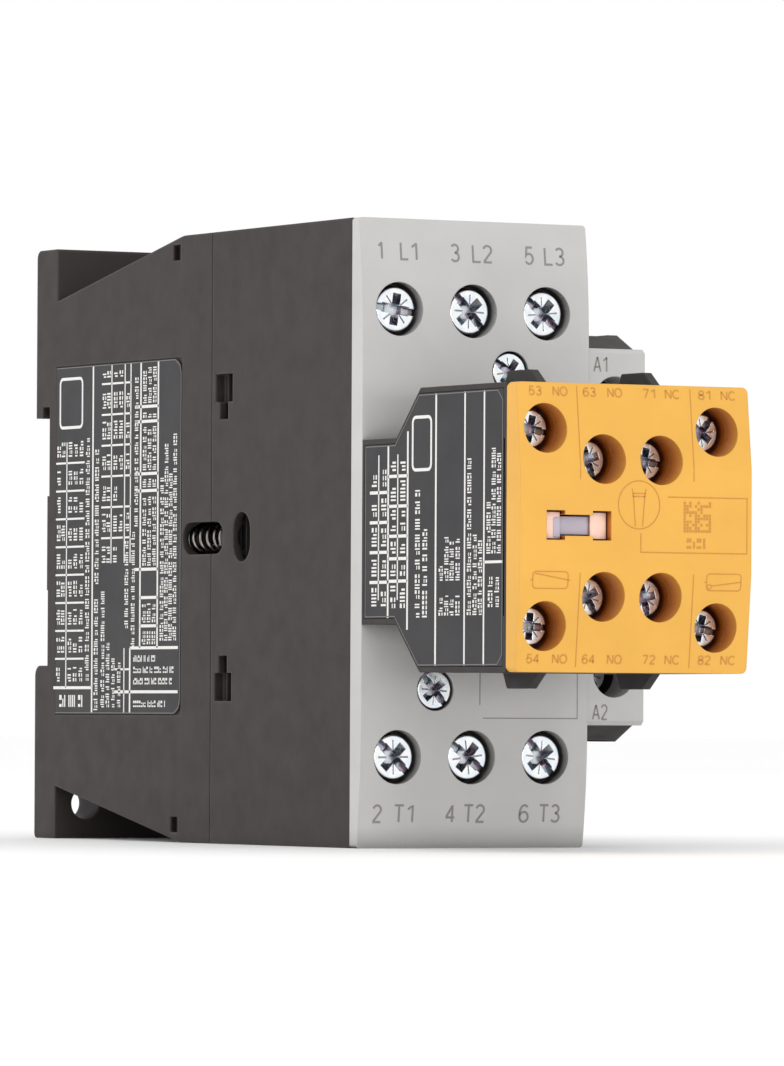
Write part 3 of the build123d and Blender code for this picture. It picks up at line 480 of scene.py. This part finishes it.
class Print:
    """Thin closed plates of ink on one surface, collected into one piece."""

    def __init__(self, spot, outward):
        self.spot, self.outward = spot, Vector(outward)
        self.verts, self.faces = [], []

    def put(self, u, v, proud):
        lift = INK_PROUD if proud else -INK_SUNK
        return Vector(self.spot(u, v)) + self.outward * lift

    def strip(self, left, right, closed=False):
        """A closed plate between two rows of points."""
        start, count = len(self.verts), len(left)
        for (lu, lv), (ru, rv) in zip(left, right):
            self.verts += [self.put(lu, lv, True), self.put(ru, rv, True),
                           self.put(ru, rv, False), self.put(lu, lv, False)]
        for i in range(count if closed else count - 1):
            a, b = start + 4 * i, start + 4 * ((i + 1) % count)
            for k in range(4):
                self.faces.append((a + k, a + (k + 1) % 4, b + (k + 1) % 4, b + k))
        if not closed:
            end = start + 4 * (count - 1)
            self.faces += [tuple(start + k for k in range(4)), tuple(end + k for k in range(4))]

    def bar(self, u0, u1, v0, v1):
        """An upright rectangle, cut every millimetre so that it follows a curved surface."""
        steps = max(1, math.ceil(abs(v1 - v0)))
        heights = [v0 + (v1 - v0) * i / steps for i in range(steps + 1)]
        self.strip([(u0, v) for v in heights], [(u1, v) for v in heights])

    def rule_up(self, u, v0, v1, width):
        self.bar(u - width / 2, u + width / 2, v0, v1)

    def rule_across(self, v, u0, u1, width):
        self.bar(u0, u1, v - width / 2, v + width / 2)

    def line(self, points, width, closed=False):
        """A mitred line of one width through points."""
        left, right = [], []
        count = len(points)
        for i in range(count):
            here = Vector(points[i])
            before = Vector(points[i - 1]) if closed or i else None
            after = Vector(points[(i + 1) % count]) if closed or i < count - 1 else None
            turns = []
            for a, b in ((before, here), (here, after)):
                if a is not None and b is not None:
                    step = (b - a).normalized()
                    turns.append(Vector((-step.y, step.x)))
            side = sum(turns, Vector((0, 0))) / len(turns)
            side = side / side.length_squared * width / 2
            left.append(tuple(here + side))
            right.append(tuple(here - side))
        self.strip(left, right, closed)

    def rounded_box(self, u0, u1, v0, v1, radius, width):
        corners = ((u1 - radius, v1 - radius, 0), (u0 + radius, v1 - radius, 90),
                   (u0 + radius, v0 + radius, 180), (u1 - radius, v0 + radius, 270))
        points = [point for u, v, start in corners
                  for point in arc(u, v, radius, radius, start, start + 90)]
        self.line(points, width, closed=True)

    def ring(self, u, v, radius, width):
        points = [(u + radius * math.cos(math.radians(a)), v + radius * math.sin(math.radians(a)))
                  for a in range(0, 360, 6)]
        self.line(points, width, closed=True)

    def marking(self, words, u0, u1, v0, v1, pen):
        """A terminal marking, fitted between u0 and u1 and between its foot and cap height."""
        total = sum(GLYPHS[c][0] for c in words) + GLYPH_GAP * (len(words) - 1)
        wide, tall, place = (u1 - u0 - pen) / total, v1 - v0 - pen, 0.0
        for c in words:
            width, strokes = GLYPHS[c]
            for stroke in strokes:
                points = [(u0 + pen / 2 + (place + u) * wide, v0 + pen / 2 + v * tall)
                          for u, v in stroke]
                ends_meet = stroke[0] == stroke[-1]
                self.line(points[:-1] if ends_meet else points, pen, closed=ends_meet)
            place += width + GLYPH_GAP

    def dashes(self, rng, start, end, across, tall, upright=True, letter=0.5):
        """A line of small print, drawn as rows of plain strokes grouped like words."""
        place = start
        while place < end:
            for _ in range(rng.randint(2, 7)):
                wide = letter * rng.choice((0.32, 0.38, 0.8))
                if place + wide > end:
                    return
                low, high = -tall / 2, tall / 2 * rng.choice((0.35, 0.9, 0.9))
                parts = [(low * 0.9, high)] if wide < letter * 0.5 else [
                    (low * 0.9, low * 0.45), (high * 0.2, high)]
                for a, b in parts:
                    if upright:
                        self.bar(across - b, across - a, place, place + wide)
                    else:
                        self.bar(place, place + wide, across + a, across + b)
                place += wide + letter * 0.3
            place += letter * 0.8

    def finish(self, name, material, slot):
        piece = add_piece(name, self.verts, self.faces, material)
        return piece


def left_side(depth, z):
    return LEFT_X, y_at(depth), z


def grey_front(x, z):
    """Front of the grey cover, which falls away in an arc towards its upper and lower edge."""
    flat, drop = 26.0, 1.2
    reach = GREY_HIGH.z - flat
    radius = (reach ** 2 + drop ** 2) / (2 * drop)
    beyond = max(0.0, abs(z) - flat)
    return x, GREY_LOW.y + radius - math.sqrt(radius ** 2 - beyond ** 2), z


def coil_front(x, z):
    return x, COIL_LOW.y, z


def yellow_front(x, z):
    """Front of the yellow cover: flat across the middle, sloping back above and below."""
    top, bottom, drop = 8.0, -6.0, 1.2
    reach = YELLOW_HIGH.z - top if z > top else YELLOW_HIGH.z + bottom
    beyond = max(0.0, z - top, bottom - z)
    return x, YELLOW_LOW.y + drop * beyond / reach, z


FORWARD, LEFTWARD = (0, -1, 0), (-1, 0, 0)
# widths of the printed lines
HAIR, EDGE_PEN, FINE, THIN, BROAD, MEDIUM = 0.15, 0.12, 0.14, 0.28, 0.36, 0.42


def sleeves(name, holes, inner, outer, front, back, finish):
    """Thin sleeves that line driver holes behind a cover, down to the screws."""
    steps = 48
    verts, faces = [], []
    for x, z in holes:
        start = len(verts)
        for step in range(steps):
            angle = 2 * math.pi * step / steps
            for reach, y in ((inner, front), (outer, front), (outer, back), (inner, back)):
                verts.append((x + reach * math.cos(angle), y, z + reach * math.sin(angle)))
        for step in range(steps):
            a, b = start + 4 * step, start + 4 * ((step + 1) % steps)
            faces += [(a + k, a + (k + 1) % 4, b + (k + 1) % 4, b + k) for k in range(4)]
    add_piece(name, verts, faces, MATERIALS[finish])


AUX_HEAD_RADIUS = 2.55
ROW_STEP = 3.9               # the auxiliary block's middle screws sit this much further in
WALL = 0.018                 # of a lining
CLEAR = 0.02                 # between a lining and the cover in front of it


def driver_wells():
    """Linings of the auxiliary and the coil terminals' driver holes."""
    low, high = box_mm("aux_terminal_screws")
    across = high.x - low.x - 2 * AUX_HEAD_RADIUS
    outer_z = high.z - AUX_HEAD_RADIUS
    holes = []
    for column in range(4):
        x = low.x + AUX_HEAD_RADIUS + across * column / 3
        z = outer_z if column in (0, 3) else outer_z - ROW_STEP
        holes += [(x, z), (x, -z)]
    radius, reach = 3.23, 3.4
    sleeves("aux_driver_wells", holes, radius, radius + WALL, YELLOW_HIGH.y + CLEAR,
            YELLOW_HIGH.y + reach, "cover_yellow")
    low, high = box_mm("coil_terminal_screws")
    x, z = (low.x + high.x) / 2, high.z - (high.x - low.x) / 2
    radius, reach = 3.28, 3.9
    sleeves("coil_driver_wells", [(x, z), (x, -z)], radius, radius + WALL, COIL_HIGH.y + CLEAR,
            COIL_HIGH.y + reach, "cover_grey")


def indicator_film():
    """The corner of the indicator's insert that laps over its left end block."""
    low, _ = box_mm("indicator_slide")
    insert_low, insert_high = box_mm("indicator_insert")
    x1 = insert_low.x
    x0 = x1 - 1.05
    z0, z1 = low.z + 0.12, insert_high.z - 0.1
    outline = [(x1, z0), (x1, z1), (x0 + 0.25, z1), (x0, z1 - 0.25), (x0, z0 + 0.1),
               (x0 + 0.1, z0)]
    count = len(outline)
    front, back = low.y - 0.03, low.y + 0.05
    verts = [(x, y, z) for y in (front, back) for x, z in outline]
    faces = [tuple(range(count)), tuple(range(count, 2 * count))]
    faces += [(k, (k + 1) % count, count + (k + 1) % count, count + k) for k in range(count)]
    piece = add_piece("indicator_film", verts, faces, MATERIALS["indicator_lavender"],
                      "aux_slider")


def type_label_print():
    """Rules, tables and small print of the rating label. Its wording is left out."""
    rng = random.Random(3)
    p = Print(left_side, LEFTWARD)
    top, foot = 25.2, -24.4
    # long rules
    for depth, low, high, width in ((9.8, -20.8, 14.5, THIN), (18.0, foot, top, MEDIUM),
                                    (23.8, -3.1, top, THIN), (27.9, -3.1, top, THIN),
                                    (29.7, -3.1, top, THIN), (32.8, -15.2, top, MEDIUM),
                                    (38.1, -15.2, top, MEDIUM), (29.8, foot, -15.2, MEDIUM),
                                    (28.0, foot, -15.2, THIN)):
        p.rule_up(depth, low, high, width)
    # first table
    p.rule_across(-20.8, 5.9, 17.9, MEDIUM)
    rows = [11.5 - 4.02 * i for i in range(8)]
    for z in rows:
        p.rule_across(z, 6.4, 15.4, THIN)
    for z in rows + [-20.8]:
        for depth in (7.3, 8.7, 10.9, 12.6, 14.4):
            if depth != 8.7 or rng.random() < 0.5:
                p.dashes(rng, z + 0.9, z + 3.2, depth, 1.2, letter=0.62)
    p.dashes(rng, -19.8, 15.0, 16.4, 1.3)
    # second table
    rows = [22.5 - 4.4 * i for i in range(6)]
    for z in rows:
        p.rule_across(z, 20.7, 27.4, THIN)
        p.rule_across(z, 28.0, 29.9, THIN)
    for z in [22.5 - 4.4 * i for i in range(-1, 6)]:
        for depth in (21.5, 22.9, 25.0, 26.7, 28.8):
            if depth < 26 or rng.random() < 0.7:
                p.dashes(rng, max(z - 3.5, -3.0), min(z - 0.9, 24.4), depth, 1.2, letter=0.62)
    p.dashes(rng, -6.0, 13.5, 19.3, 1.3)
    p.dashes(rng, -24.0, -8.0, 19.2, 1.3)
    p.dashes(rng, -23.6, -7.0, 21.3, 1.2)
    p.dashes(rng, -23.6, -14.2, 22.9, 1.2)
    p.dashes(rng, -23.6, -16.5, 24.6, 1.1)
    p.dashes(rng, -23.6, -16.5, 26.4, 1.1)
    p.dashes(rng, -12.4, 0.5, 28.6, 1.2)
    p.dashes(rng, -15.0, 1.5, 30.6, 1.2)
    p.rule_across(-18.2, 24.8, 29.6, THIN)
    p.rule_across(-21.4, 24.8, 44.4, MEDIUM)
    p.rule_across(-15.2, 29.8, 44.4, MEDIUM)
    # third table
    ends = [top, 18.9, 16.8, 9.4, 7.0, -4.1, -8.1, -12.1, -15.2]
    for z in ends[1:-1]:
        p.rule_across(z, 31.0 if z > -5 else 32.8, 38.2, MEDIUM)
    for high, low in zip(ends, ends[1:]):
        if low != -8.1:
            for depth in (34.0, 35.5, 37.0):
                p.dashes(rng, low + 0.5, high - 0.7, depth, 1.15)
    p.dashes(rng, 2.0, 23.5, 31.5, 1.15)
    for depth, high in ((39.4, 9.0), (40.7, 13.5), (42.0, 9.5), (43.3, 15.0)):
        p.dashes(rng, -14.2, high, depth, 1.15)
    # boxes at the foot
    for z, end in ((-16.7, 38.0), (-18.3, 43.4), (-19.9, 42.8), (-23.1, 41.0)):
        p.dashes(rng, 30.9, end, z, 1.0, upright=False, letter=0.55)
    p.dashes(rng, 7.8, 15.6, -22.7, 1.9, upright=False, letter=0.9)
    # plain frames where the marks of approval are left out
    p.rounded_box(7.6, 14.6, 16.6, 23.6, 0.8, MEDIUM)
    p.finish("type_label_print", WHITE_INK, "label_black")
    edge = Print(left_side, LEFTWARD)
    edge.line([(6.6, -24.4), (43.2, -24.4), (44.6, -23.6), (45.0, -22.4), (45.0, 23.2),
               (44.6, 24.4), (43.2, 25.2), (6.6, 25.2)], EDGE_PEN)
    edge.finish("type_label_outline", EDGE_INK, "label_black")


def aux_label_print():
    """Rules, tables and small print of the auxiliary block's label."""
    rng = random.Random(8)
    p = Print(left_side, LEFTWARD)
    for depth, low, high, width in ((102.0, -9.2, 10.2, THIN), (104.6, -11.6, 11.4, MEDIUM),
                                    (107.2, -9.2, 10.2, THIN), (109.9, -13.2, 13.2, MEDIUM),
                                    (117.5, -18.0, 18.0, MEDIUM), (125.2, -18.0, 18.0, BROAD),
                                    (130.3, -18.0, 18.0, BROAD)):
        p.rule_up(depth, low, high, width)
    for z in (5.2, 1.2, -2.8, -6.8):
        p.rule_across(z, 99.6, 104.6, MEDIUM)
    for z in (7.3, 3.3, -0.7, -3.7, -6.7):
        p.rule_across(z, 104.6, 109.9, MEDIUM)
    p.rule_across(-4.5, 130.3, 135.2, BROAD)
    for depth in (100.8, 103.4):
        for z in (5.2, 1.2, -2.8, -6.8, -10.8):
            p.dashes(rng, z + 0.8, z + 3.4, depth, 1.5, letter=0.75)
    for depth in (106.0, 108.6):
        for low, high in ((7.3, 10.5), (3.3, 7.3), (-0.7, 3.3), (-3.7, -0.7), (-6.7, -3.7),
                          (-11.0, -6.7)):
            p.dashes(rng, low + 0.7, high - 0.5, depth, 1.5, letter=0.75)
    p.dashes(rng, -11.6, 5.4, 112.6, 1.4, letter=0.6)
    p.dashes(rng, -11.6, 0.6, 114.6, 1.4, letter=0.6)
    for depth, high in ((118.9, -4.6), (120.4, -1.0), (121.8, -1.4), (123.4, -1.0)):
        p.dashes(rng, -11.4, -8.6, depth, 1.2)
        p.dashes(rng, -6.8, high, depth, 1.2)
    for depth, high in ((126.4, 9.6), (127.9, -0.8), (129.3, -1.6)):
        p.dashes(rng, -11.4, high, depth, 1.15)
    for depth, high in ((131.5, 3.6), (132.8, 10.6), (134.2, 10.0)):
        p.dashes(rng, -3.4, high, depth, 1.15)
    for depth in (132.0, 133.7):
        p.dashes(rng, -10.4, -6.4, depth, 1.3)
    p.rounded_box(111.2, 116.2, 8.0, 15.0, 0.8, MEDIUM)
    p.finish("aux_label_print", WHITE_INK, "label_black")
    edge = Print(left_side, LEFTWARD)
    half = [(98.4, 11.4), (106.4, 11.4), (112.9, 17.9), (133.8, 17.9), (135.1, 16.6)]
    edge.line(half + [(d, -z) for d, z in reversed(half)], EDGE_PEN, closed=True)
    edge.finish("aux_label_outline", EDGE_INK, "label_black")


MARK_HEIGHT = 2.55


def grey_print():
    """Terminal markings and lines on the grey cover and on the coil terminal cover."""
    p = Print(grey_front, FORWARD)
    upper = (("1", -20.0, -19.1, "L1", -16.5, -13.7), ("3", -8.7, -7.2, "L2", -5.3, -2.1),
             ("5", 2.9, 4.4, "L3", 6.0, 9.25))
    lower = (("2", -20.4, -18.9, "T1", -17.1, -13.9), ("4", -9.1, -7.5, "T2", -6.3, -2.9),
             ("6", 2.4, 4.0, "T3", 5.5, 8.9))
    for row, foot in ((upper, 36.8), (lower, -39.1)):
        for figure, a, b, name, c, d in row:
            p.marking(figure, a, b, foot, foot + MARK_HEIGHT, 0.3)
            p.marking(name, c, d, foot, foot + MARK_HEIGHT, 0.3)
    p.line([(-4.1, -18.7), (-4.1, -23.1)], FINE)
    p.line([(-3.6, -24.9), (11.2, -24.9), (11.2, -18.7)], FINE)
    p.finish("grey_cover_print", GREY_INK, "cover_grey")
    p = Print(coil_front, FORWARD)
    p.marking("A1", 14.3, 16.6, 22.5, 24.7, 0.24)
    p.marking("A2", 14.3, 16.8, -25.1, -22.9, 0.24)
    p.finish("coil_cover_print", GREY_INK, "cover_grey")


def yellow_print():
    """Contact markings, column lines and symbols on the yellow cover."""
    p = Print(yellow_front, FORWARD)
    upper = (("53", -20.7, "NO", -17.1), ("63", -12.5, "NO", -8.8), ("71", -3.4, "NC", 0.0),
             ("81", 5.1, "NC", 8.6))
    lower = (("54", -20.9, "NO", -17.0), ("64", -12.5, "NO", -8.7), ("72", -3.3, "NC", 0.1),
             ("82", 5.2, "NC", 8.7))
    for row, foot in ((upper, 17.1), (lower, -17.8)):
        for number, a, kind, c in row:
            p.marking(number, a, a + 2.0, foot, foot + 1.3, 0.21)
            p.marking(kind, c, c + 2.3, foot, foot + 1.3, 0.21)
    for x in (-13.4, 3.9):
        p.rule_up(x, 6.3, 18.5, HAIR)
        p.rule_up(x, -18.2, -5.9, HAIR)
    # screwdriver in a circle
    x, z = -4.5, 3.1
    p.ring(x, z, 3.15, HAIR)
    for side in (-1, 1):
        p.line([(x + side * 1.05, z + 2.1), (x + side * 0.85, z + 1.0), (x + side * 0.55, z - 2.8)],
               HAIR)
    for height in (1.1, 1.5):
        p.rule_across(z + height, x - 0.95, x + 0.95, HAIR)
    # frame of the date field, with a field of plain dots
    p.line([(-0.1, 4.2), (12.1, 4.2), (12.1, -3.1), (-4.2, -3.1), (-4.2, -0.6)], HAIR)
    rng = random.Random(5)
    for column in range(10):
        for row in range(10):
            if rng.random() < 0.5 or column == 0 or row == 0:
                u, v = 2.33 + 0.43 * column, -0.4 + 0.41 * row
                p.bar(u, u + 0.34, v, v + 0.34)
    p.dashes(rng, 2.8, 5.9, -1.85, 1.5, upright=False, letter=0.9)
    # make and break contact symbols
    for left, foot in ((-20.5, -8.0), (5.95, -8.0)):
        right, head = left + 5.3, foot + 2.2
        p.rounded_box(left, right, foot, head, 0.5, HAIR)
        middle = (foot + head) / 2
        p.line([(left - 0.35, middle), (left, middle)], HAIR)
        if left < 0:
            p.line([(right, middle), (right + 0.35, middle)], HAIR)
            p.line([(left + 0.3, head - 0.25), (right - 0.1, middle + 0.05)], HAIR)
        else:
            p.ring(left + 0.45, foot + 0.5, 0.3, HAIR)
            p.line([(left + 0.8, foot + 0.6), (right - 0.1, middle + 0.05)], HAIR)
    p.finish("aux_cover_print", BROWN_INK, "cover_yellow")


driver_wells()
indicator_film()
type_label_print()
aux_label_print()
grey_print()
yellow_print()


# ---- surroundings -------------------------------------------------------------------------------
def floor():
    """A wide pale floor that the part stands on."""
    radius, rings, spokes = 6000.0, 6, 48
    z = cad_box[0].z / MM
    verts, faces = [(0, 0, z)], []
    for ring in range(1, rings + 1):
        for spoke in range(spokes):
            angle = 2 * math.pi * spoke / spokes
            reach = radius * (ring / rings) ** 2
            verts.append((reach * math.cos(angle), reach * math.sin(angle), z))
    for spoke in range(spokes):
        following = (spoke + 1) % spokes
        faces.append((0, 1 + spoke, 1 + following))
        for ring in range(rings - 1):
            a, b = 1 + ring * spokes, 1 + (ring + 1) * spokes
            faces.append((a + spoke, b + spoke, b + following, a + following))
    mesh = bpy.data.meshes.new("floor")
    mesh.from_pydata([Vector(v) * MM for v in verts], [], faces)
    s = Shader("pale_floor", 0.7, specular=0.1)
    white = (0.985, 0.985, 0.985, 1.0)
    tone = s.mix(s.ranged(s.noise(400.0), 0, 1), shade(white, 0.99), white)
    mesh.materials.append(s.finish(tone))
    made = bpy.data.objects.new("floor", mesh)
    bpy.context.scene.collection.objects.link(made)


def light(name, place, aim, size, power):
    """A white rectangular area light that faces aim. Lengths are in metres."""
    data = bpy.data.lights.new(name, "AREA")
    data.energy = power
    data.shape = "RECTANGLE"
    data.size, data.size_y = size
    made = bpy.data.objects.new(name, data)
    made.location = place
    made.rotation_euler = (Vector(aim) - Vector(place)).to_track_quat("-Z", "Y").to_euler()
    bpy.context.scene.collection.objects.link(made)


def studio():
    """White surroundings with a key light, a low strip for the front and one for the left side."""
    world = bpy.data.worlds.new("studio")
    bpy.context.scene.world = world
    world.use_nodes = True
    background = world.node_tree.nodes["Background"]
    background.inputs["Color"].default_value = (1, 1, 1, 1)
    background.inputs["Strength"].default_value = 1.0
    centre = tuple((cad_box[0] + cad_box[1]) / 2)
    light("key", (-0.5, -1.2, 0.9), centre, (0.8, 0.8), 2.2)
    light("fill", (-0.15, -1.3, 0.03), centre, (1.2, 0.12), 2.6)
    light("side", (-1.3, 0.1, 0.35), centre, (0.7, 0.9), 3)
    bpy.context.scene.view_settings.view_transform = "Standard"


def camera():
    """The photographed view: from the left and slightly below, with a long lens."""
    data = bpy.data.cameras.new("camera")
    data.sensor_fit = "AUTO"
    data.sensor_width = 36.0
    data.lens = 271.58
    data.clip_start, data.clip_end = 0.05, 50.0
    made = bpy.data.objects.new("camera", data)
    place = Vector((-546.53, -1038.56, -25.17))
    yaw, pitch, roll = math.radians(29.23), math.radians(1.33), math.radians(0.28)
    ahead = Vector((math.sin(yaw) * math.cos(pitch), math.cos(yaw) * math.cos(pitch),
                    math.sin(pitch)))
    right = ahead.cross(Vector((0, 0, 1))).normalized()
    up = right.cross(ahead)
    right, up = (right * math.cos(roll) + up * math.sin(roll),
                 up * math.cos(roll) - right * math.sin(roll))
    turned = Matrix((right, up, -ahead)).transposed().to_4x4()
    made.matrix_world = Matrix.Translation(place * MM) @ turned
    bpy.context.scene.collection.objects.link(made)
    bpy.context.scene.camera = made


floor()
studio()
camera()
